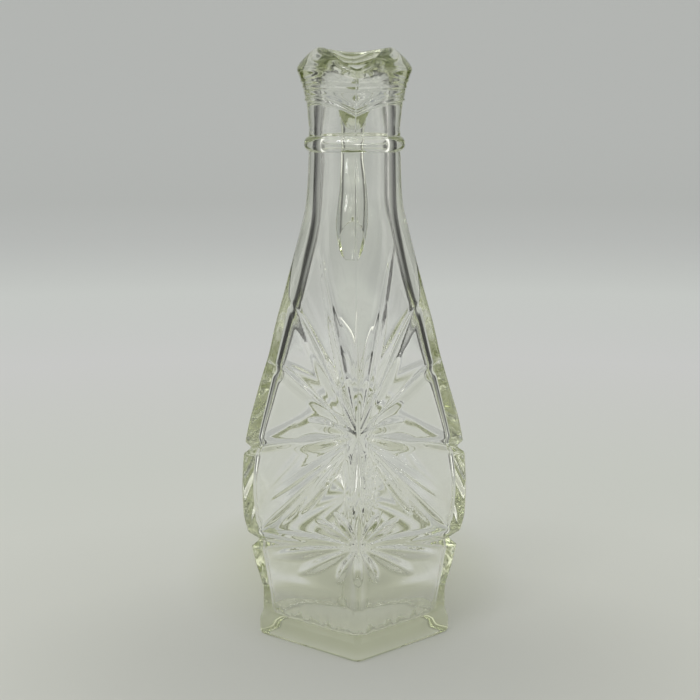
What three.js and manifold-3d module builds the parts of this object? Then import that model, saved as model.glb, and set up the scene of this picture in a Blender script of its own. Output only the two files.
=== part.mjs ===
// A pressed-glass cruet: square body with star cuts centred on its corners, long round neck with a
// collar, a pouring lip, and a loop handle behind the neck. One solid of clear glass.
// Millimetres, +Z up, origin at the middle of the base. The spout points to -Y, the handle to +Y.
import * as THREE from "three";
import { LoftGeometry } from "three/addons/geometries/LoftGeometry.js";
import { mergeVertices } from "three/addons/utils/BufferGeometryUtils.js";
import Module from "manifold-3d";

// Driving dimensions
const HEIGHT = 165;
const BASE_CORNER = 26.8; // from the axis to a corner of the base
const BELLY_CORNER = 31.6; // the same at the widest level
const BELLY_LEVEL = 43;
const NECK_RADIUS = 12.6;
const BORE_RADIUS = 9.4;
const FLOOR_THICKNESS = 5.2;
const BASE_BEVEL = 1.2;

const COLLAR_LEVEL = 138.9;
const COLLAR_RADIUS = 13.85;
const COLLAR_HALF_HEIGHT = 2;
const COLLAR_SHOULDER = 1.5; // from its middle level to where it rounds off

const LIP_FOOT = 154.2; // the small step between neck and lip
const LIP_RADIUS = 15.7;
const SPOUT_REACH = 20.5;
const SPOUT_TIP_LEVEL = 158.5;

const HANDLE_REACH = 29.3; // from the axis to the middle of the grip

const UPPER_STAR = 63.4;
const LOWER_STAR = 33.6;
const CUT_LIFT = 1.6; // how far a cutter stands proud of the glass
const CUT_START = 0.4; // how far into its swell a cut already is at the star's middle
const CUT_END = -0.02; // depth share at the far end, just clear of the glass
const CUT_STATIONS = [0, 0.25, 0.5, 0.77, 1];
const CUTTER_LEAN = 0.2; // how much the cutters lean up with the faces

const AROUND = 40; // points round one section
const HANDLE_STEPS = 24;
const HANDLE_CORNERS = 14;
const CORNER_CROWDING = 0.16; // how far the points move towards the four corners, in radians
const SAME_POINT = 1e-4;

// Levels of the outside: [z, distance to the corner, corner radius]
const OUTSIDE = [
  [0, BASE_CORNER - BASE_BEVEL, 1.6],
  [BASE_BEVEL, BASE_CORNER, 1.8],
  [4.2, BASE_CORNER + 0.1, 1.8],
  [8, BASE_CORNER - 1, 1.7],
  [12.5, BASE_CORNER - 1, 1.6],
  [16.9, BASE_CORNER, 1.6],
  [20.4, 27.9, 1.6],
  [24, 28.7, 1.6],
  [29.8, 30, 1.6],
  [35.5, 31.3, 1.6],
  [BELLY_LEVEL, BELLY_CORNER, 1.6],
  [51, 31.15, 1.7],
  [60, 29.75, 1.8],
  [72.3, 26.4, 2.3],
  [80.8, 23.9, 3.4],
  [89, 22, 5.2],
  [98, 19.6, 8.2],
  [105.8, 17.55, 10.8],
  [114.7, 15.2, 12.6],
  [123.5, 13.25, 13.1],
  [COLLAR_LEVEL - COLLAR_HALF_HEIGHT, NECK_RADIUS, NECK_RADIUS],
];

// Levels of the hollow, top to bottom, in the same form
const INSIDE = [
  [124, BORE_RADIUS + 0.1, BORE_RADIUS + 0.1],
  [120, 9.9, 9.9],
  [114.7, 11, 10.6],
  [106, 13.3, 10.8],
  [99, 15.2, 10],
  [88, 18, 8.8],
  [78, 20.6, 7.4],
  [66, 23.4, 5.6],
  [55, 25.8, 4],
  [BELLY_LEVEL, 27.2, 3.2],
  [31, 25.9, 3],
  [21, 24, 3],
  [FLOOR_THICKNESS + 5, 22.6, 3],
  [FLOOR_THICKNESS + 1.2, 21, 3],
  [FLOOR_THICKNESS, 18, 3],
];

// Sections of the collar: [level, radius]
const COLLAR = [
  [COLLAR_LEVEL - COLLAR_SHOULDER, COLLAR_RADIUS - 0.42],
  [COLLAR_LEVEL, COLLAR_RADIUS],
  [COLLAR_LEVEL + COLLAR_SHOULDER, COLLAR_RADIUS - 0.42],
  [COLLAR_LEVEL + COLLAR_HALF_HEIGHT, NECK_RADIUS - 0.2],
];

// Lip sections from the collar up and over the rim to the bore: side profile, spout profile, and how
// many degrees round the dip towards the spout spreads
const LIP = [
  { side: [12.4, 142.9], front: [12.4, 142.9], spread: 24 },
  { side: [13.2, 150.8], front: [13.1, 147], spread: 24 },
  { side: [13.7, 152.8], front: [15.8, 150.5], spread: 24 },
  { side: [14, LIP_FOOT], front: [18, 153.6], spread: 24 },
  { side: [15, 157], front: [19.7, 156], spread: 24 },
  { side: [LIP_RADIUS, 159.2], front: [SPOUT_REACH - 0.2, 157.6], spread: 24 },
  { side: [14.2, 161.6], front: [SPOUT_REACH, SPOUT_TIP_LEVEL], spread: 24 },
  { side: [11.8, 163.9], front: [19.3, 159], spread: 24 },
  { side: [10, HEIGHT], front: [18.2, 158.6], spread: 24 },
  { side: [9.5, 163.4], front: [15.8, 156.7], spread: 33 },
  { side: [9.45, 160], front: [13.2, 153.6], spread: 40 },
  { side: [BORE_RADIUS, 154.5], front: [10.6, 149.8], spread: 40 },
  { side: [BORE_RADIUS, 145], front: [BORE_RADIUS, 145], spread: 40 },
];
const SPOUT_WIDENING = 1.25; // how much wider the spout's swelling spreads than its dip
const BACK_SPREAD = (43 * Math.PI) / 180; // how far round the lower rim at the back reaches
const BACK_DIP = 1.2;
const DIP_POWER = 1.35;

// The handle from the neck to the shoulder: distance from the axis, level, width, depth, and how
// much wider its section is on top
const HANDLE_PATH = [
  [9.9, 146.2, 10, 10, 0.5],
  [14, 147, 10.2, 8.4, 0.45],
  [20, 147.2, 10.6, 6.6, 0.15],
  [26, 144.4, 10.2, 6.2, 0],
  [HANDLE_REACH, 138.8, 10.2, 6, 0],
  [28.9, 132.8, 10.6, 6, 0],
  [26, 127, 12, 6.2, 0],
  [21.6, 121.4, 12, 6.4, 0],
  [17.8, 115.6, 10.4, 5.8, 0],
  [16.3, 110, 7.6, 4.8, 0],
  [16.2, 105.6, 5, 3.4, 0],
];

// Cuts of one face, from the star's middle on the corner edge (across = 0) towards the side corner
// (across = 1). Each has its far end, its half width and depth, and where along it the belly sits.
const UPPER_CUTS = [
  { across: 0.1, level: 101.8, half: 1.1, depth: 0.5, belly: 0.6 },
  { across: 0.48, level: 113, half: 1.9, depth: 0.7, belly: 0.6 },
  { across: 0.8, level: 97.4, half: 2, depth: 1.1, belly: 0.6 },
  { across: 0.96, level: 79.3, half: 2.2, depth: 1.2, belly: 0.65 },
  { across: 0.44, level: 64.7, half: 2, depth: 1.1, belly: 0.6 },
  { across: 1.3, level: 51.2, half: 2, depth: 1.75, belly: 0.77 },
  { across: 0.63, level: 56.7, half: 2.2, depth: 1.15, belly: 0.6 },
  { across: 0.79, level: 40, half: 1.2, depth: 0.75, belly: 0.6 },
  { across: 0.93, level: 29.5, half: 2.3, depth: 1.2, belly: 0.6 },
  { across: 0.7, level: 33, half: 1.2, depth: 0.75, belly: 0.6 },
  { across: 0.51, level: 38.1, half: 1.7, depth: 1, belly: 0.6 },
  { across: 0.06, level: 40, half: 1.1, depth: 0.7, belly: 0.4 },
];
const LOWER_CUTS = [
  { across: 0.18, level: 41.6, half: 1.6, depth: 1, belly: 0.6 },
  { across: 0.34, level: 38.2, half: 1.6, depth: 1, belly: 0.6 },
  { across: 0.76, level: 31.4, half: 1.5, depth: 0.9, belly: 0.5 },
  { across: 1.3, level: 25.9, half: 2.4, depth: 2.2, belly: 0.77 },
  { across: 0.81, level: 24.1, half: 2, depth: 1.15, belly: 0.6 },
  { across: 0.56, level: 20.8, half: 1.9, depth: 1.15, belly: 0.6 },
  { across: 0.2, level: 21.3, half: 1.6, depth: 1.05, belly: 0.6 },
  { across: 0, level: 20.3, half: 1.8, depth: 1.3, belly: 0.6 },
];

const glass = new THREE.MeshStandardMaterial({ color: 0xdfe6da, roughness: 0.04, metalness: 0 });

const wasm = await Module();
wasm.setup();

// A closed geometry as a solid for cutting and joining. Triangles that a point-like end has
// squeezed flat are dropped.
function toSolid(geometry) {
  const bare = new THREE.BufferGeometry();
  bare.setAttribute("position", geometry.getAttribute("position"));
  bare.setIndex(geometry.getIndex());
  const merged = mergeVertices(bare, SAME_POINT);
  const corners = merged.index.array;
  const kept = [];
  for (let i = 0; i < corners.length; i += 3) {
    const [a, b, c] = corners.slice(i, i + 3);
    if (a !== b && b !== c && c !== a) kept.push(a, b, c);
  }
  const triVerts = new Uint32Array(kept);
  const vertProperties = merged.attributes.position.array;
  return new wasm.Manifold(new wasm.Mesh({ numProp: 3, vertProperties, triVerts }));
}

function toGeometry(solid) {
  const mesh = solid.getMesh();
  const geometry = new THREE.BufferGeometry();
  geometry.setAttribute("position", new THREE.BufferAttribute(mesh.vertProperties, 3));
  geometry.setIndex(new THREE.BufferAttribute(mesh.triVerts, 1));
  geometry.computeVertexNormals();
  return geometry;
}

// Distance from the axis to a face of a square with rounded corners.
function faceDistance(corner, radius) {
  return (corner - radius) / Math.SQRT2 + radius;
}

// Distance from the axis to the outline of that square, at an angle from its corner.
function outlineRadius(corner, radius, fromCorner) {
  const middle = corner - radius;
  const tangent = Math.atan2(radius / Math.SQRT2, middle + radius / Math.SQRT2);
  if (fromCorner >= tangent) return faceDistance(corner, radius) / Math.cos(Math.PI / 4 - fromCorner);
  const sine = middle * Math.sin(fromCorner);
  return middle * Math.cos(fromCorner) + Math.sqrt(radius * radius - sine * sine);
}

// Angles round a section, from the spout corner: closer together at the four corners.
const ANGLES = Array.from({ length: AROUND }, (_, i) => {
  const turn = (i / AROUND) * 2 * Math.PI;
  return turn - CORNER_CROWDING * Math.sin(4 * turn);
});

// A point at an angle from the spout (-Y), turning towards +X.
function around(angle, radius, z) {
  return new THREE.Vector3(radius * Math.sin(angle), -radius * Math.cos(angle), z);
}

function squareSection([z, corner, radius]) {
  return ANGLES.map((angle) => {
    const quarter = Math.PI / 2;
    const turned = ((angle % quarter) + quarter) % quarter;
    const fromCorner = Math.min(turned, quarter - turned);
    return around(angle, outlineRadius(corner, Math.min(radius, corner), fromCorner), z);
  });
}

function collarSection([z, radius]) {
  return ANGLES.map((angle) => around(angle, radius, z));
}

function lipSection({ side, front, spread }) {
  return ANGLES.map((angle) => {
    const off = Math.abs(Math.atan2(Math.sin(angle), Math.cos(angle)));
    const reach = THREE.MathUtils.degToRad(spread);
    const swell = Math.exp(-((off / (SPOUT_WIDENING * reach)) ** 2));
    const dip = Math.exp(-((off / reach) ** DIP_POWER));
    const radius = THREE.MathUtils.lerp(side[0], front[0], swell);
    const back = Math.exp(-(((Math.PI - off) / BACK_SPREAD) ** 2));
    const drop = BACK_DIP * back * THREE.MathUtils.clamp((side[1] - LIP_FOOT) / (HEIGHT - LIP_FOOT), 0, 1);
    return around(angle, radius, THREE.MathUtils.lerp(side[1], front[1], dip) - drop);
  });
}

// A section shrunk to a point on the axis, which closes a flat end.
function centreSection(z) {
  return ANGLES.map(() => new THREE.Vector3(0, 0, z));
}

// Body, neck, collar, lip and the hollow, as one skin that goes up outside and down inside.
function vessel() {
  const sections = [
    centreSection(0),
    ...OUTSIDE.map(squareSection),
    ...COLLAR.map(collarSection),
    ...LIP.map(lipSection),
    ...INSIDE.map(squareSection),
    centreSection(FLOOR_THICKNESS),
  ];
  return toSolid(new LoftGeometry(sections));
}

// The loop handle: an oval bar, wide where it leaves the neck and drawn out on the shoulder.
function handle() {
  const path = new THREE.CatmullRomCurve3(HANDLE_PATH.map(([y, z]) => new THREE.Vector3(0, y, z)));
  const last = HANDLE_PATH.length - 1;
  const sections = [];
  for (let i = 0; i <= HANDLE_STEPS; i += 1) {
    const t = i / HANDLE_STEPS;
    const low = Math.min(Math.floor(t * last), last - 1);
    const [width, depth, taper] = [2, 3, 4].map((k) =>
      THREE.MathUtils.lerp(HANDLE_PATH[low][k], HANDLE_PATH[low + 1][k], t * last - low),
    );
    const centre = path.getPoint(t);
    const along = path.getTangent(t);
    const out = new THREE.Vector3(0, along.z, -along.y);
    sections.push(
      Array.from({ length: HANDLE_CORNERS }, (_, j) => {
        const turn = (j / HANDLE_CORNERS) * 2 * Math.PI;
        const wide = (width / 2) * Math.cos(turn) * (1 - taper * Math.sin(turn));
        const deep = (depth / 2) * Math.sin(turn);
        return centre.clone().addScaledVector(out, deep).add(new THREE.Vector3(wide, 0, 0));
      }),
    );
  }
  return toSolid(new LoftGeometry(sections, { capStart: true, capEnd: true }));
}

// A point on the flat of the face that runs from the spout corner to the +X corner.
function facePoint(across, z) {
  const next = OUTSIDE.findIndex(([level]) => level > z);
  const [low, high] = [OUTSIDE[next - 1], OUTSIDE[next]];
  const t = (z - low[0]) / (high[0] - low[0]);
  const corner = THREE.MathUtils.lerp(low[1], high[1], t);
  const distance = faceDistance(corner, THREE.MathUtils.lerp(low[2], high[2], t));
  const along = distance * (2 * across - 1);
  return new THREE.Vector3(distance + along, along - distance, z * Math.SQRT2).divideScalar(Math.SQRT2);
}

// How much of its depth a cut has, from the star's middle (t = 0) to its far end (t = 1).
function cutSwell(t, belly) {
  const grown = (part) => CUT_START + (1 - CUT_START) * part;
  return t === 1 ? CUT_END : Math.sin(Math.PI * grown(t) ** (Math.log(0.5) / Math.log(grown(belly))));
}

// A long V cutter that lies along a face, deepest at its belly.
function cutter({ across, level, half, depth, belly }, starLevel) {
  const slope = half / depth;
  const out = new THREE.Vector3(1, -1, CUTTER_LEAN).normalize();
  const side = facePoint(across, level).sub(facePoint(0, starLevel)).cross(out).normalize();
  const sections = CUT_STATIONS.map((t) => {
    const foot = facePoint(across * t, THREE.MathUtils.lerp(starLevel, level, t));
    const deep = depth * cutSwell(t, belly);
    const top = foot.clone().addScaledVector(out, CUT_LIFT);
    return [
      foot.clone().addScaledVector(out, -deep),
      top.clone().addScaledVector(side, -(deep + CUT_LIFT) * slope),
      top.clone().addScaledVector(side, (deep + CUT_LIFT) * slope),
    ];
  });
  return toSolid(new LoftGeometry(sections, { capStart: true, capEnd: true }));
}

// The cuts of both stars on one face, repeated on the four faces so that each star is whole.
function stars() {
  const face = [
    ...UPPER_CUTS.map((cut) => cutter(cut, UPPER_STAR)),
    ...LOWER_CUTS.map((cut) => cutter(cut, LOWER_STAR)),
  ].reduce((all, one) => all.add(one));
  const half = face.add(face.mirror([1, 0, 0]));
  return half.add(half.mirror([0, 1, 0]));
}

const cruet = new THREE.Group();
const body = new THREE.Mesh(toGeometry(vessel().subtract(stars()).add(handle())), glass);
body.name = "cruet_glass";
cruet.add(body);

export default cruet;
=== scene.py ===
# A pressed-glass cruet on a pale sweep: the smooth glass that stands for the faceted solid.
import math

import bmesh
import bpy
import numpy as np
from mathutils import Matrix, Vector


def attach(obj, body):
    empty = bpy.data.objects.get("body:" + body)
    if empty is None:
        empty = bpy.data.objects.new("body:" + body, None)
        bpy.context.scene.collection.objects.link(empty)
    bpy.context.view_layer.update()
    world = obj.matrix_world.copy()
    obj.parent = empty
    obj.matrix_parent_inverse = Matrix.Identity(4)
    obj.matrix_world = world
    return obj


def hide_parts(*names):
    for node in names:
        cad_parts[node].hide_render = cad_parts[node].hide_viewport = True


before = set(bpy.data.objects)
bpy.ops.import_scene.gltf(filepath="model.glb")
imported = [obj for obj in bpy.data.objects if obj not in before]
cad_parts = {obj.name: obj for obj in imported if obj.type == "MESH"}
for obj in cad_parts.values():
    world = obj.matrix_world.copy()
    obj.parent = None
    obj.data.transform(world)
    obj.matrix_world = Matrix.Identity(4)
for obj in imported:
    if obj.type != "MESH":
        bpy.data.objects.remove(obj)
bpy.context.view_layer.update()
NODE = "cruet_glass"
MM = 0.001

# Sizes in millimetres, as in the part's own source
HEIGHT = 165
BASE_CORNER = 26.8
BELLY_CORNER = 31.6
BELLY_LEVEL = 43
NECK_RADIUS = 12.6
BORE_RADIUS = 9.4
FLOOR_THICKNESS = 5.2
COLLAR_LEVEL = 138.9
COLLAR_RADIUS = 13.85
COLLAR_HALF_HEIGHT = 2
LIP_FOOT = 154.2  # the small step between neck and lip
LIP_RADIUS = 15.7
SPOUT_REACH = 20.5
SPOUT_TIP_LEVEL = 158.5
HANDLE_REACH = 29.3
UPPER_STAR = 63.4
LOWER_STAR = 33.6

# Levels of the outside and of the hollow: z, distance to the corner, corner radius
OUTSIDE = [
    (0, BASE_CORNER - 1.2, 1.6),
    (0.35, BASE_CORNER - 0.4, 1.7),
    (1.2, BASE_CORNER, 1.8),
    (4.2, BASE_CORNER + 0.1, 1.8),
    (8, BASE_CORNER - 1, 1.7),
    (12.5, BASE_CORNER - 1, 1.6),
    (16.9, BASE_CORNER, 1.6),
    (20.4, 27.9, 1.6),
    (24, 28.7, 1.6),
    (29.8, 30, 1.6),
    (35.5, 31.3, 1.6),
    (BELLY_LEVEL, BELLY_CORNER, 1.6),
    (51, 31.15, 1.7),
    (60, 29.75, 1.8),
    (72.3, 26.4, 2.3),
    (80.8, 23.9, 3.4),
    (89, 22, 5.2),
    (98, 19.6, 8.2),
    (105.8, 17.55, 10.8),
    (114.7, 15.2, 12.6),
    (123.5, 13.25, 13.1),
    (COLLAR_LEVEL - COLLAR_HALF_HEIGHT, NECK_RADIUS, NECK_RADIUS),
]
INSIDE = [
    (FLOOR_THICKNESS, 18, 3),
    (FLOOR_THICKNESS + 1.2, 21, 3),
    (FLOOR_THICKNESS + 5, 22.6, 3),
    (21, 24, 3),
    (31, 25.9, 3),
    (BELLY_LEVEL, 27.2, 3.2),
    (55, 25.8, 4),
    (66, 23.4, 5.6),
    (78, 20.6, 7.4),
    (88, 18, 8.8),
    (99, 15.2, 10),
    (106, 13.3, 10.8),
    (114.7, 11, 10.6),
    (120, 9.9, 9.9),
    (124, BORE_RADIUS + 0.1, BORE_RADIUS + 0.1),
    (130, BORE_RADIUS, BORE_RADIUS),
]

# Lip from the collar over the rim to the bore: side radius and level, spout radius and level, and
# how far round the dip towards the spout spreads, in degrees
LIP = [
    (12.4, 142.9, 12.4, 142.9, 24),
    (13.2, 150.8, 13.1, 147, 24),
    (13.7, 152.8, 15.8, 150.5, 24),
    (14, LIP_FOOT, 18, 153.6, 24),
    (15, 157, 19.7, 156, 24),
    (LIP_RADIUS, 159.2, SPOUT_REACH - 0.2, 157.6, 24),
    (14.2, 161.6, SPOUT_REACH, SPOUT_TIP_LEVEL, 24),
    (11.8, 163.9, 19.3, 159, 24),
    (10, HEIGHT, 18.2, 158.6, 24),
    (9.5, 163.4, 15.8, 156.7, 33),
    (9.45, 160, 13.2, 153.6, 40),
    (BORE_RADIUS, 154.5, 10.6, 149.8, 40),
    (BORE_RADIUS, 145, BORE_RADIUS, 145, 40),
]
# Rows of the lip's skin: from which section to which, and how many
LIP_ROWS = [(0, 0.8, 5), (0.86, 1.46, 13), (1.6, 2.7, 8), (2.8, 3.84, 12), (4, 8.9, 28), (9.1, 12, 12)]
# Raised lines round the foot of the lip: section, height, half width
LIP_BEADS = [(1, 0.42, 0.07), (1.3, 0.16, 0.05), (3, 0.3, 0.14), (3.6, 0.2, 0.12)]
LIP_LEDGE = 0.3  # how far the lip stands out above the first of them, and where that begins and ends
LIP_LEDGE_FROM = 1
LIP_LEDGE_TO = 3
SPOUT_WIDENING = 1.25  # how much wider the spout's swelling spreads than its dip
DIP_POWER = 1.35
BACK_DIP = 1.2  # how much lower the rim is at the back, and how far round that reaches
BACK_SPREAD = math.radians(43)

# Cuts of one face, from a star's middle on the spout corner: how far across, level, half width,
# depth and where the belly sits
UPPER_CUTS = [
    (0.1, 101.8, 1.1, 0.5, 0.6),
    (0.48, 113, 1.9, 0.7, 0.6),
    (0.8, 97.4, 2, 1.1, 0.6),
    (0.96, 79.3, 2.2, 1.2, 0.65),
    (0.44, 64.7, 2, 1.1, 0.6),
    (1.3, 51.2, 2, 1.75, 0.77),
    (0.63, 56.7, 2.2, 1.15, 0.6),
    (0.79, 40, 1.2, 0.75, 0.6),
    (0.93, 29.5, 2.3, 1.2, 0.6),
    (0.7, 33, 1.2, 0.75, 0.6),
    (0.51, 38.1, 1.7, 1, 0.6),
    (0.06, 40, 1.1, 0.7, 0.4),
]
LOWER_CUTS = [
    (0.18, 41.6, 1.6, 1, 0.6),
    (0.34, 38.2, 1.6, 1, 0.6),
    (0.76, 31.4, 1.5, 0.9, 0.5),
    (1.3, 25.9, 2.4, 2.2, 0.77),
    (0.81, 24.1, 2, 1.15, 0.6),
    (0.56, 20.8, 1.9, 1.15, 0.6),
    (0.2, 21.3, 1.6, 1.05, 0.6),
    (0, 20.3, 1.8, 1.3, 0.6),
]
CUT_LEVELS = (12, 116)  # all cuts lie between these
CUT_START = 0.4  # how far into its swell a cut already is at the star's middle
CUT_TAIL = 0.08  # how far a cut runs on behind the star's middle
CUT_SOFTNESS = 0.15  # rounding of the bottom of a cut
CUT_BLEND = 6  # how sharply the deepest of crossing cuts wins
CUT_FACING = 0.4  # cosine of the farthest turn from its face at which a cut still counts
CUT_SLANT = 0.5  # the least cosine that a cut's depth is divided by

# Small unevenness of pressed glass
SEAM_HEIGHT = 0.07
SEAM_WIDTH = 0.24
RIPPLE = 0.05
RIPPLE_FROM = 4  # level above which the outside has its full ripple
FLOOR_WAVE = 0.8  # unevenness of the edge of the hollow's floor
FLOOR_WAVE_HEIGHT = 3
FLOOR_WAVES = (19, 31)  # how many waves round
PATCH_DEPTH = 0.3  # rough patch beside the spout corner, below the upper star
PATCH_TURN = math.radians(7)
PATCH_LEVEL = 50.5
PATCH_WIDTH = math.radians(5)
PATCH_HEIGHT = 6
PATCH_WAVES = [(34, 1.7, 0), (-51, 2.3, 1), (80, 3.7, 0)]  # waves round, waves up and phase of its pits

# Mesh density
COLUMNS = 256
CORNER_CROWDING = 0.16  # how far the columns move towards the four corners, in radians
EDGE_LEVELS = [0, 0.08, 0.2, 0.4, 0.7, 1, 1.3]  # rows round the lower edge
CUT_ROW = 0.55
PLAIN_ROW = 1.1
NECK_ROW = 1.76
BELOW_COLLAR = (0.5, 0.15)
ABOVE_COLLAR = (0.15, 0.4, 0.9)
ABOVE_COLLAR_INSET = 0.05
COLLAR_TURNS = (-75, 78, 12)  # first and last turn of the collar's round side in degrees, and its rows
COLLAR_STRETCH = 1.03
COLLAR_FOOT = 0.25  # how deep in the neck the collar's swell starts
BORE_TOP = 143
BORE_ROW = 2.6
HOLLOW_ROW = 1.25
FLOOR_LEVELS = [1.5, 1.05, 0.65, 0.35, 0.13, 0]  # rows above the hollow's floor
END_RINGS = (0.08, 0.35, 0.65, 0.88)  # rings of the underside and the floor, as shares of their rims


def smooth_curve(xs, ys, at):
    """Monotone cubic through the points, so that it never swings past them."""
    xs, ys, at = (np.asarray(v, float) for v in (xs, ys, at))
    gaps = np.diff(xs)
    slopes = np.diff(ys) / gaps
    tangents = np.zeros_like(ys)
    same_way = slopes[:-1] * slopes[1:] > 0
    weight_a = 2 * gaps[1:] + gaps[:-1]
    weight_b = gaps[1:] + 2 * gaps[:-1]
    with np.errstate(divide="ignore", invalid="ignore"):
        mean = (weight_a + weight_b) / (weight_a / slopes[:-1] + weight_b / slopes[1:])
    tangents[1:-1] = np.where(same_way, mean, 0)
    tangents[0], tangents[-1] = slopes[0], slopes[-1]
    i = np.clip(np.searchsorted(xs, at, side="right") - 1, 0, len(gaps) - 1)
    t = np.clip((at - xs[i]) / gaps[i], 0, 1)
    step = gaps[i]
    return (
        ys[i] * (1 + 2 * t) * (1 - t) ** 2
        + tangents[i] * step * t * (1 - t) ** 2
        + ys[i + 1] * t * t * (3 - 2 * t)
        + tangents[i + 1] * step * t * t * (t - 1)
    )


def table_at(table, z):
    levels, corners, radii = zip(*table)
    corner = smooth_curve(levels, corners, z)
    return corner, np.minimum(smooth_curve(levels, radii, z), corner)


def face_distance(corner, radius):
    return (corner - radius) / math.sqrt(2) + radius


def outline_radius(corner, radius, from_corner):
    """Distance from the axis to a square with rounded corners, at angles from a corner."""
    middle = corner - radius
    tangent = np.arctan2(radius / math.sqrt(2), middle + radius / math.sqrt(2))
    flat = face_distance(corner, radius) / np.cos(math.pi / 4 - from_corner)
    sine = middle * np.sin(from_corner)
    arc = middle * np.cos(from_corner) + np.sqrt(np.maximum(radius * radius - sine * sine, 0))
    return np.where(from_corner >= tangent, flat, arc)


def column_angles(count):
    turn = np.arange(count) / count * 2 * math.pi
    return turn - CORNER_CROWDING * np.sin(4 * turn)


def angle_from_corner(angles):
    quarter = math.pi / 2
    turned = np.mod(angles, quarter)
    return np.minimum(turned, quarter - turned)


def ring(angles, radius, z):
    z = np.broadcast_to(z, angles.shape)
    return np.stack([radius * np.sin(angles), -radius * np.cos(angles), z], axis=1)


def square_row(table, angles, z):
    corner, radius = table_at(table, z)
    return ring(angles, outline_radius(corner, radius, angle_from_corner(angles)), z)


def cut_depth(points):
    """How deep the star cuts go at points of the plain outside, along their outward direction."""
    x, y, z = points.T
    corner, radius = table_at(OUTSIDE, z)
    face = face_distance(corner, radius)
    outward = np.hypot(x, y)
    total = np.zeros(len(points))
    for side_x, side_y in ((1, -1), (-1, -1), (1, 1)):  # the point's own face and its two neighbours
        px, py = side_x * np.abs(x), side_y * np.abs(y)
        height = (px - py) / math.sqrt(2) - face
        facing = (px - py) / (math.sqrt(2) * outward)
        across = ((px + py) / (math.sqrt(2) * face) + 1) / 2
        for star, cuts in ((UPPER_STAR, UPPER_CUTS), (LOWER_STAR, LOWER_CUTS)):
            for end_across, end_level, half, depth, belly in cuts:
                run = np.stack([end_across * 2 * face, np.full_like(z, end_level - star)])
                here = np.stack([across * 2 * face, z - star])
                length = np.hypot(*run)
                along = (run * here).sum(0) / length**2
                off = (run[0] * here[1] - run[1] * here[0]) / length
                off = np.sqrt(off * off + CUT_SOFTNESS**2) - CUT_SOFTNESS
                power = math.log(0.5) / math.log(CUT_START + (1 - CUT_START) * belly)
                grown = CUT_START + (1 - CUT_START) * np.clip(along, 0, 1)
                swell = np.sin(math.pi * grown**power) * np.clip(1 + along / CUT_TAIL, 0, 1)
                exit_way = (height + depth * swell - off * depth / half) / np.maximum(facing, CUT_SLANT)
                inside = (along > -CUT_TAIL) & (along < 1) & (facing > CUT_FACING)
                total += np.where(inside, np.maximum(exit_way, 0), 0) ** CUT_BLEND
    return total ** (1 / CUT_BLEND)


def ripple(points, phase):
    """The slow waviness of pressed glass, from crossing waves a few centimetres long."""
    x, y, z = points.T / 10
    waves = np.sin(1.9 * x + 1.3 * z + phase) * np.sin(1.7 * y - 1.1 * z + 2 * phase)
    waves += 0.6 * np.sin(3.1 * x - 2.3 * y + 2.9 * z + 3 * phase)
    return RIPPLE * waves


def rough_patch(points, angles):
    """A small patch where the pressed surface is pitted."""
    z = points[:, 2]
    turn = np.arctan2(np.sin(angles - PATCH_TURN), np.cos(angles - PATCH_TURN))
    near = np.exp(-((turn / PATCH_WIDTH) ** 4) - ((z - PATCH_LEVEL) / PATCH_HEIGHT) ** 4)
    first, second, third = (np.sin(across * angles + up * z + phase) for across, up, phase in PATCH_WAVES)
    return PATCH_DEPTH * near * (first * second + third / 2)


def moved_outward(points, amount):
    out = points.copy()
    length = np.maximum(np.hypot(points[:, 0], points[:, 1]), 1e-6)
    out[:, :2] += points[:, :2] / length[:, None] * np.asarray(amount)[:, None]
    return out


def seam_swell(angles, radius):
    """The mould seam runs up the spout corner and the handle corner."""
    off = np.abs(np.sin(angles)) * radius
    return SEAM_HEIGHT * np.exp(-((off / SEAM_WIDTH) ** 2))


def levels_between(low, high, step):
    return np.linspace(low, high, max(2, round(abs(high - low) / step) + 1))


def body_rows(angles):
    """The outside from the lower edge to the collar, with the star cuts."""
    top = COLLAR_LEVEL - COLLAR_HALF_HEIGHT
    low, high = CUT_LEVELS
    levels = np.concatenate([
        EDGE_LEVELS,
        levels_between(EDGE_LEVELS[-1], low, PLAIN_ROW)[1:],
        levels_between(low, high, CUT_ROW)[1:],
        levels_between(high, top - BELOW_COLLAR[0], NECK_ROW)[1:],
        [top - BELOW_COLLAR[1], top],
    ])
    rows = []
    for z in levels:
        row = square_row(OUTSIDE, angles, z)
        radius = np.hypot(row[:, 0], row[:, 1])
        out = seam_swell(angles, radius)
        out = out + ripple(row, phase=0.4) * min(1, z / RIPPLE_FROM)
        out = out - cut_depth(row) + rough_patch(row, angles)
        rows.append(moved_outward(row, out))
    return rows


def collar_rows(angles):
    rows = []
    foot = NECK_RADIUS - COLLAR_FOOT
    for turn in np.radians(np.linspace(*COLLAR_TURNS)):
        z = COLLAR_LEVEL + COLLAR_HALF_HEIGHT * COLLAR_STRETCH * math.sin(turn)
        rows.append(ring(angles, foot + (COLLAR_RADIUS - foot) * math.cos(turn), z))
    radius = NECK_RADIUS - ABOVE_COLLAR_INSET
    for lift in ABOVE_COLLAR:
        rows.append(ring(angles, radius, COLLAR_LEVEL + COLLAR_HALF_HEIGHT + lift))
    return rows


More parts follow.
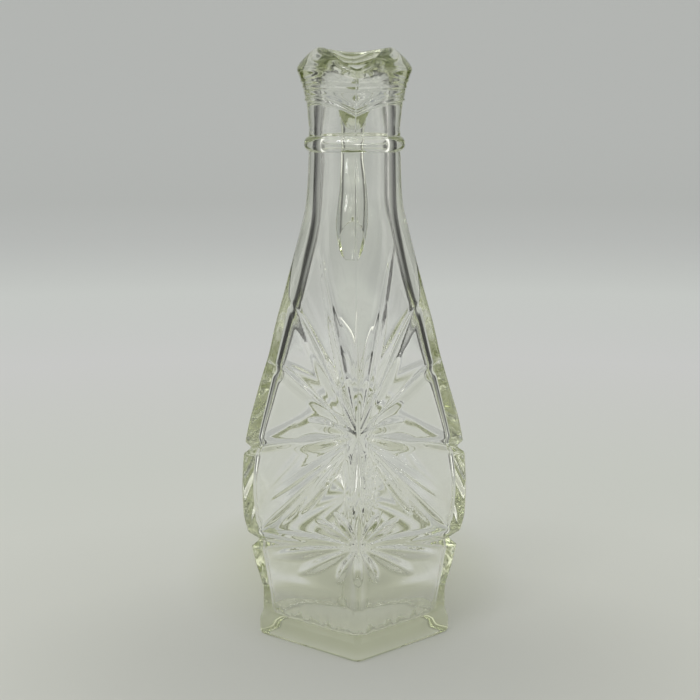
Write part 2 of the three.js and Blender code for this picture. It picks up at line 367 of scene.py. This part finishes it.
def lip_rows(angles):
    """The pouring lip, and below its step the neck that swells into the spout."""
    off = np.abs(np.arctan2(np.sin(angles), np.cos(angles)))
    back = np.exp(-(((math.pi - off) / BACK_SPREAD) ** 2))
    controls = np.array(LIP, float)
    at = np.concatenate([np.linspace(*rows) for rows in LIP_ROWS])
    side_r, side_z, spout_r, spout_z, spread = (catmull(controls[:, i], at) for i in range(5))
    rows = []
    for i in range(len(at)):
        reach = math.radians(spread[i])
        swell = np.exp(-((off / (SPOUT_WIDENING * reach)) ** 2))
        dip = np.exp(-((off / reach) ** DIP_POWER))
        radius = side_r[i] + (spout_r[i] - side_r[i]) * swell
        z = side_z[i] + (spout_z[i] - side_z[i]) * dip
        z = z - BACK_DIP * back * min(1, max(0, (side_z[i] - LIP_FOOT) / (HEIGHT - LIP_FOOT)))
        step = sum(high * math.exp(-(((at[i] - middle) / half) ** 2)) for middle, high, half in LIP_BEADS)
        if at[i] > LIP_LEDGE_FROM:
            step += LIP_LEDGE * max(0, 1 - at[i] / LIP_LEDGE_TO)
        row = ring(angles, radius + step + seam_swell(angles, radius), z)
        rows.append(moved_outward(row, ripple(row, phase=1.1)))
    return rows


def catmull(ys, at):
    """Smooth curve through values at the places 0, 1, 2 and so on."""
    i = np.clip(at.astype(int), 0, len(ys) - 2)
    t = at - i
    before, after = np.maximum(i - 1, 0), np.minimum(i + 2, len(ys) - 1)
    a, b, c, d = ys[before], ys[i], ys[i + 1], ys[after]
    return 0.5 * (
        2 * b + (c - a) * t + (2 * a - 5 * b + 4 * c - d) * t**2 + (3 * b - a - 3 * c + d) * t**3
    )


def hollow_rows(angles):
    """The hollow from the bore down to its floor."""
    top = INSIDE[-1][0]
    levels = np.concatenate([
        levels_between(BORE_TOP, top, BORE_ROW),
        levels_between(top, FLOOR_THICKNESS + 2, HOLLOW_ROW)[1:],
        FLOOR_THICKNESS + np.array(FLOOR_LEVELS),
    ])
    rows = []
    for z in levels:
        row = square_row(INSIDE, angles, z) if z < top else ring(angles, BORE_RADIUS, z)
        foot = math.exp(-(((z - FLOOR_THICKNESS) / FLOOR_WAVE_HEIGHT) ** 2))
        first, second = FLOOR_WAVES
        wave = FLOOR_WAVE * foot * (np.sin(first * angles + 1) + np.sin(second * angles)) / 2
        rows.append(moved_outward(row, ripple(row, phase=2.3) + wave))
    return rows


def add_strip(faces, low, high, count):
    for i in range(count):
        j = (i + 1) % count
        faces.append((low + i, low + j, high + j, high + i))


def vessel_mesh():
    """Rows of points skinned into one closed surface: up the outside, over the lip, down inside."""
    fine = column_angles(COLUMNS)
    coarse = fine[::2]
    outer = body_rows(fine) + collar_rows(fine) + lip_rows(fine)
    inner = hollow_rows(coarse)
    base = [outer[0] * (share, share, 1) for share in END_RINGS]
    floor = [inner[-1] * (share, share, 1) for share in END_RINGS[::-1]]
    points, faces, starts = [], [], []
    for row in base + outer + inner + floor:
        starts.append((len(points), len(row)))
        points.extend(row.tolist())
    for (low, count), (high, other) in zip(starts, starts[1:]):
        if count == other:
            add_strip(faces, low, high, count)
            continue
        for i in range(other):
            a, b, c = low + 2 * i, low + 2 * i + 1, low + (2 * i + 2) % count
            d, e = high + i, high + (i + 1) % other
            faces.extend([(a, b, d), (b, e, d), (b, c, e)])
    first, last = starts[0], starts[-1]
    faces.append(tuple(range(first[0] + first[1] - 1, first[0] - 1, -1)))
    faces.append(tuple(range(last[0], last[0] + last[1])))
    return mesh_of("vessel", points, faces)


def mesh_of(name, points, faces):
    mesh = bpy.data.meshes.new(name)
    mesh.from_pydata([tuple(c * MM for c in p) for p in points], [], faces)
    mesh.update()
    return mesh


# The handle from the neck to the shoulder: distance from the axis, level, width, depth, and how
# much wider the section is on top
HANDLE_PATH = [
    (9.9, 146.2, 10, 10, 0.5),
    (14, 147, 10.2, 8.4, 0.45),
    (20, 147.2, 10.6, 6.6, 0.15),
    (26, 144.4, 10.2, 6.2, 0),
    (HANDLE_REACH, 138.8, 10.2, 6, 0),
    (28.9, 132.8, 10.6, 6, 0),
    (26, 127, 12, 6.2, 0),
    (21.6, 121.4, 12, 6.4, 0),
    (17.8, 115.6, 10.4, 5.8, 0),
    (16.3, 110, 7.6, 4.8, 0),
    (16.2, 105.6, 5, 3.4, 0),
]
HANDLE_ROWS = 120
HANDLE_CORNERS = 36


def handle_mesh():
    """The loop handle, wide where it leaves the neck and drawn out to a tail on the shoulder."""
    controls = np.array(HANDLE_PATH)
    at = np.linspace(0, len(controls) - 1, HANDLE_ROWS)
    y, z, width, depth, taper = (catmull(controls[:, i], at) for i in range(5))
    along = np.stack([np.gradient(y), np.gradient(z)])
    along /= np.hypot(*along)
    turn = np.arange(HANDLE_CORNERS) / HANDLE_CORNERS * 2 * math.pi
    points, faces = [], []
    for i in range(HANDLE_ROWS):
        deep = -depth[i] / 2 * np.sin(turn)
        wide = width[i] / 2 * np.cos(turn) * (1 + taper[i] * np.sin(turn))
        row = np.stack([wide, y[i] + along[1, i] * deep, z[i] - along[0, i] * deep], axis=1)
        points.extend(row.tolist())
        if i:
            add_strip(faces, (i - 1) * HANDLE_CORNERS, i * HANDLE_CORNERS, HANDLE_CORNERS)
    faces.append(tuple(range(HANDLE_CORNERS - 1, -1, -1)))
    faces.append(tuple(range(len(points) - HANDLE_CORNERS, len(points))))
    return mesh_of("handle", points, faces)


def joined(first, second):
    """One closed surface of both meshes."""
    scene = bpy.context.scene.collection
    a = bpy.data.objects.new("cruet", first)
    b = bpy.data.objects.new("handle_part", second)
    for item in (a, b):
        scene.objects.link(item)
        bm = bmesh.new()
        bm.from_mesh(item.data)
        bmesh.ops.recalc_face_normals(bm, faces=bm.faces)
        bm.to_mesh(item.data)
        bm.free()
    union = a.modifiers.new("join", "BOOLEAN")
    union.operation = "UNION"
    union.solver = "MANIFOLD"
    union.object = b
    bpy.context.view_layer.update()
    final = bpy.data.meshes.new_from_object(a.evaluated_get(bpy.context.evaluated_depsgraph_get()))
    a.modifiers.clear()
    a.data = final
    bpy.data.objects.remove(b)
    for polygon in final.polygons:
        polygon.use_smooth = True
    return a


GLASS_IOR = 1.5
GLASS_TINT = (0.785, 0.808, 0.635, 1)
GLASS_DENSITY = 43


def new_material(name):
    """A material, with its shader, its nodes and its links."""
    material = bpy.data.materials.new(name)
    material.use_nodes = True
    nodes = material.node_tree.nodes
    return material, nodes["Principled BSDF"], nodes, material.node_tree.links


def glass_material():
    """Clear glass that is tinted where it is thick."""
    material, shader, nodes, links = new_material("clear_glass")
    shader.inputs["Base Color"].default_value = (1, 1, 1, 1)
    shader.inputs["Roughness"].default_value = 0
    shader.inputs["IOR"].default_value = GLASS_IOR
    shader.inputs["Transmission Weight"].default_value = 1
    absorb = nodes.new("ShaderNodeVolumeAbsorption")
    absorb.inputs["Color"].default_value = GLASS_TINT
    absorb.inputs["Density"].default_value = GLASS_DENSITY
    links.new(absorb.outputs["Volume"], nodes["Material Output"].inputs["Volume"])
    return material


def build_cruet():
    cruet = joined(vessel_mesh(), handle_mesh())
    cruet.data.materials.clear()
    cruet.data.materials.append(glass_material())
    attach(cruet, "root")
    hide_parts(NODE)
    return cruet


# Camera, at the photograph's viewing angle: millimetres, radians and pixels
CAMERA_DISTANCE = 480
CAMERA_HEIGHT = 156
CAMERA_TURN = math.radians(2)
CAMERA_PITCH = math.radians(8.8)
FOCAL_PX = 1741
FRAME_PX = 700
AXIS_PX = 354.5
SENSOR_MM = 36


def add_camera():
    data = bpy.data.cameras.new("camera")
    data.sensor_width = SENSOR_MM
    data.lens = FOCAL_PX / FRAME_PX * SENSOR_MM
    data.clip_start = 0.01
    camera = bpy.data.objects.new("camera", data)
    bpy.context.scene.collection.objects.link(camera)
    aim = CAMERA_TURN + math.atan((FRAME_PX / 2 - AXIS_PX) / FOCAL_PX)
    camera.location = (
        -CAMERA_DISTANCE * MM * math.sin(CAMERA_TURN),
        -CAMERA_DISTANCE * MM * math.cos(CAMERA_TURN),
        CAMERA_HEIGHT * MM,
    )
    camera.rotation_euler = (math.pi / 2 - CAMERA_PITCH, 0, -aim)
    bpy.context.scene.camera = camera


PAPER_END = 1600

# Painted light of the paper along the sweep, dimmest near the glass as painted shade round its foot:
# (floor radius + level, red, green, blue), mm
PAPER_PAINTED_LIGHT = [
    (0, 0.19, 0.195, 0.168),
    (45, 0.215, 0.22, 0.19),
    (62, 0.235, 0.239, 0.206),
    (76, 0.255, 0.26, 0.224),
    (110, 0.303, 0.308, 0.268),
    (180, 0.337, 0.345, 0.305),
    (262, 0.339, 0.351, 0.313),
    (535, 0.386, 0.386, 0.38),
    (740, 0.373, 0.388, 0.37),
    (850, 0.285, 0.293, 0.286),
    (910, 0.252, 0.26, 0.252),
    (1010, 0.256, 0.264, 0.258),
    (PAPER_END, 0.25, 0.257, 0.252),
]
PAPER_COLOUR = (0.34, 0.34, 0.324, 1)
PAPER_ROUGHNESS = 0.9
PAINTED_LIGHT_FRONT = 35  # how far in front of the glass the painted light is weakest
# Painted light on the paper under the glass, standing in for the light that reaches through it
UNDER_PAINTED_LIGHT = (0.315, 0.325, 0.268, 1)
UNDER_CORNER = 25.5
# Painted shadow and tint of the paper behind the glass, where its shadow lies: distance from the shadow's
# middle
SHADE_BEHIND = 72
SHADE_NARROW = 1.9
SHADE_END = 120
PAPER_SHADE = [
    (0, 0.79, 0.805, 0.68),
    (36, 0.81, 0.825, 0.7),
    (66, 0.92, 0.927, 0.87),
    (100, 1, 1, 1),
]


def ramp_node(nodes, stops, end):
    ramp = nodes.new("ShaderNodeValToRGB")
    elements = ramp.color_ramp.elements
    while len(elements) < len(stops):
        elements.new(0.5)
    for element, (along, *colour) in zip(elements, stops):
        element.position = along / end
        element.color = (*colour, 1)
    return ramp


def math_node(nodes, links, operation, *values):
    """A Math node fed with sockets or plain numbers; gives its result socket."""
    node = nodes.new("ShaderNodeMath")
    node.operation = operation
    for socket, value in zip(node.inputs, values):
        if isinstance(value, (int, float)):
            socket.default_value = value
        else:
            links.new(value, socket)
    return node.outputs["Value"]


def mixed(nodes, links, way, factor, first, second):
    """A colour Mix node; each of its inputs is a socket or a value."""
    node = nodes.new("ShaderNodeMix")
    node.data_type = "RGBA"
    node.blend_type = way
    for socket, value in ((node.inputs[0], factor), (node.inputs[6], first), (node.inputs[7], second)):
        if isinstance(value, bpy.types.NodeSocket):
            links.new(value, socket)
        else:
            socket.default_value = value
    return node.outputs[2]


def place_sockets(nodes, links):
    """X, Y and Z of the point that is shaded, in the frame of its object."""
    place = nodes.new("ShaderNodeTexCoord")
    split = nodes.new("ShaderNodeSeparateXYZ")
    links.new(place.outputs["Object"], split.inputs["Vector"])
    return [split.outputs[axis] for axis in "XYZ"]


def map_range(nodes, links, value, low, high):
    """A Map Range node between two pairs of value and result; gives its result socket."""
    node = nodes.new("ShaderNodeMapRange")
    for end, (source, result) in (("Min", low), ("Max", high)):
        node.inputs["From " + end].default_value = source
        node.inputs["To " + end].default_value = result
    links.new(value, node.inputs["Value"])
    return node.outputs["Result"]


def stage_material():
    """Pale paper with painted light: it glows, dimmer round the glass and brighter under it, and a
    painted shadow darkens it behind the glass.
    """
    material, shader, nodes, links = new_material("paper")
    shader.inputs["Roughness"].default_value = PAPER_ROUGHNESS
    shader.inputs["Specular IOR Level"].default_value = 0
    shader.inputs["Emission Strength"].default_value = 1
    x, y, z = place_sockets(nodes, links)

    def calc(operation, *values):
        return math_node(nodes, links, operation, *values)

    def hypot(a, b):
        return calc("SQRT", calc("ADD", calc("MULTIPLY", a, a), calc("MULTIPLY", b, b)))

    # Painted light and painted shade along the sweep, weakest a little in front of the glass
    painted_light = ramp_node(nodes, PAPER_PAINTED_LIGHT, PAPER_END)
    along = calc("ADD", hypot(x, calc("ADD", y, PAINTED_LIGHT_FRONT * MM)), z)
    links.new(calc("DIVIDE", along, PAPER_END * MM), painted_light.inputs["Fac"])
    # Painted shadow behind the glass
    shade = ramp_node(nodes, PAPER_SHADE, SHADE_END)
    behind = calc("SUBTRACT", y, SHADE_BEHIND * MM)
    from_shade = hypot(calc("MULTIPLY", x, SHADE_NARROW), behind)
    links.new(calc("DIVIDE", from_shade, SHADE_END * MM), shade.inputs["Fac"])
    # Painted light under the glass, inside a diamond round its foot
    diamond = calc("ADD", calc("ABSOLUTE", x), calc("ABSOLUTE", y))
    under = calc("LESS_THAN", diamond, UNDER_CORNER * MM)
    # The painted shadow darkens the painted light
    shaded = mixed(nodes, links, "MULTIPLY", 1, painted_light.outputs["Color"], shade.outputs["Color"])
    links.new(mixed(nodes, links, "MIX", under, shaded, UNDER_PAINTED_LIGHT), shader.inputs["Emission Color"])
    # and, as painted shadow too, the paper's own colour
    paper = mixed(nodes, links, "MULTIPLY", 1, PAPER_COLOUR, shade.outputs["Color"])
    links.new(paper, shader.inputs["Base Color"])
    return material


# The sweep from its middle outwards: radius and level
SWEEP_PROFILE = [(0, 0), (300, 0), (520, 0), (660, 10), (780, 50), (860, 130), (900, 280), (910, 700)]
SWEEP_ROWS = 60
SWEEP_SIDES = 96
FLOOR_LAP = 0.02  # how far the paper laps over the underside, as where glass and paper touch


def add_sweep():
    """A round floor that curves up into a wall on every side."""
    controls = np.array(SWEEP_PROFILE, float)
    at = np.linspace(0, len(controls) - 1, SWEEP_ROWS)
    radius, level = (catmull(controls[:, i], at) for i in range(2))
    level = np.maximum(level, 0) + FLOOR_LAP
    turn = np.arange(SWEEP_SIDES) / SWEEP_SIDES * 2 * math.pi
    points = [(0.0, 0.0, FLOOR_LAP)]
    for r, z in zip(radius[1:], level[1:]):
        points.extend((r * math.cos(t), r * math.sin(t), z) for t in turn)
    faces = [(0, 1 + i, 1 + (i + 1) % SWEEP_SIDES) for i in range(SWEEP_SIDES)]
    for k in range(SWEEP_ROWS - 2):
        low, high = 1 + k * SWEEP_SIDES, 1 + (k + 1) * SWEEP_SIDES
        for i in range(SWEEP_SIDES):
            j = (i + 1) % SWEEP_SIDES
            faces.append((low + j, low + i, high + i, high + j))
    sweep = bpy.data.objects.new("sweep", mesh_of("sweep", points, faces))
    for polygon in sweep.data.polygons:
        polygon.use_smooth = True
    bpy.context.scene.collection.objects.link(sweep)
    sweep.data.materials.append(stage_material())


# Dark cards: how far to each side they stand, from near to far, and how tall. They fade into the
# pale of the paper over CARD_FADE along their length and over CARD_TOP_FADE up to their top.
CARD_SIDE = 235
CARD_NEAR = 110
CARD_FAR = 560
CARD_FADE = 150
CARD_TOP = 250
CARD_TOP_FADE = 65
CARD_DARK = (0.01, 0.01, 0.01, 1)
CARD_PALE = (0.42, 0.43, 0.41, 1)


def add_cards():
    """Dark cards at both sides, unseen by the camera, that draw the edges of the glass."""
    material, shader, nodes, links = new_material("card")
    shader.inputs["Base Color"].default_value = CARD_DARK
    shader.inputs["Specular IOR Level"].default_value = 0
    shader.inputs["Emission Color"].default_value = CARD_PALE
    _, y, z = place_sockets(nodes, links)
    fades = [
        map_range(nodes, links, axis, (start * MM, 0), (end * MM, 1))
        for axis, start, end in (
            (y, CARD_NEAR + CARD_FADE, CARD_NEAR),
            (y, CARD_FAR - CARD_FADE, CARD_FAR),
            (z, CARD_TOP - CARD_TOP_FADE, CARD_TOP),
        )
    ]
    most = math_node(nodes, links, "MAXIMUM", fades[0], fades[1])
    most = math_node(nodes, links, "MAXIMUM", most, fades[2])
    links.new(most, shader.inputs["Emission Strength"])
    for name, side in (("card_left", -1), ("card_right", 1)):
        unseen_board(name, material, side * CARD_SIDE, (CARD_NEAR, CARD_FAR), CARD_TOP)


def unseen_board(name, material, x, reach, top):
    """An upright board along Y that only light passing through the glass meets."""
    points = [(x, y, z) for y in reach for z in (0, top)]
    board = bpy.data.objects.new(name, mesh_of(name, points, [(0, 1, 3, 2)]))
    board.data.materials.append(material)
    bpy.context.scene.collection.objects.link(board)
    board.visible_camera = False
    board.visible_shadow = False
    board.visible_diffuse = False


# Bright panels at both sides, which lighten the rims of the glass
PANEL_SIDE = 420
PANEL_REACH = (-160, 190)
PANEL_TOP = 320
PANEL_GLOW = (1.28, 1.28, 1.25, 1)
PANEL_DIM_AT = 20  # where along Y the panels are dim, as the flat faces mirror that stretch
PANEL_DIM = ((35, 0.5), (95, 1))  # distance from there and strength, within and beyond


def add_panels():
    """Bright panels beside the glass, unseen by the camera."""
    material, shader, nodes, links = new_material("panel")
    shader.inputs["Base Color"].default_value = (0, 0, 0, 1)
    shader.inputs["Specular IOR Level"].default_value = 0
    shader.inputs["Emission Color"].default_value = PANEL_GLOW
    _, y, _ = place_sockets(nodes, links)
    from_dim = math_node(nodes, links, "SUBTRACT", y, PANEL_DIM_AT * MM)
    from_dim = math_node(nodes, links, "ABSOLUTE", from_dim)
    ends = [(distance * MM, strength) for distance, strength in PANEL_DIM]
    links.new(map_range(nodes, links, from_dim, *ends), shader.inputs["Emission Strength"])
    for name, side in (("panel_left", -1), ("panel_right", 1)):
        unseen_board(name, material, side * PANEL_SIDE, PANEL_REACH, PANEL_TOP)


# Light: soft sky, and lamps with place, target, size and power in metres and watts
SKY_COLOUR = (0.9, 0.95, 1, 1)
SKY_STRENGTH = 0.35
BOUNCES = 32  # enough for light that is caught in the glass


def area_light(name, place, target, size, power):
    data = bpy.data.lights.new(name, "AREA")
    data.shape = "RECTANGLE"
    data.size, data.size_y = size
    data.energy = power
    light = bpy.data.objects.new(name, data)
    light.location = place
    light.rotation_euler = (Vector(target) - Vector(place)).to_track_quat("-Z", "Y").to_euler()
    bpy.context.scene.collection.objects.link(light)
    return light


def add_light():
    world = bpy.data.worlds.new("soft_sky")
    world.use_nodes = True
    sky = world.node_tree.nodes["Background"]
    sky.inputs["Color"].default_value = SKY_COLOUR
    sky.inputs["Strength"].default_value = SKY_STRENGTH
    bpy.context.scene.world = world
    area_light("overhead", (0, -0.1, 0.75), (0, 0, 0.05), (0.9, 0.9), 1.4)
    area_light("key", (-0.25, -0.55, 0.8), (0, 0, 0.1), (0.4, 0.4), 2.4)
    spark = area_light("spark", (-0.36, -0.3, 0.66), (0, 0, 0.1), (0.15, 0.15), 1.1)
    spark.visible_diffuse = False


def set_tone():
    """Plain tones, so that pale stays pale."""
    scene = bpy.context.scene
    scene.view_settings.view_transform = "Standard"
    scene.cycles.max_bounces = BOUNCES
    scene.cycles.glossy_bounces = BOUNCES
    scene.cycles.transmission_bounces = BOUNCES


add_camera()
build_cruet()
add_sweep()
add_cards()
add_panels()
add_light()
set_tone()
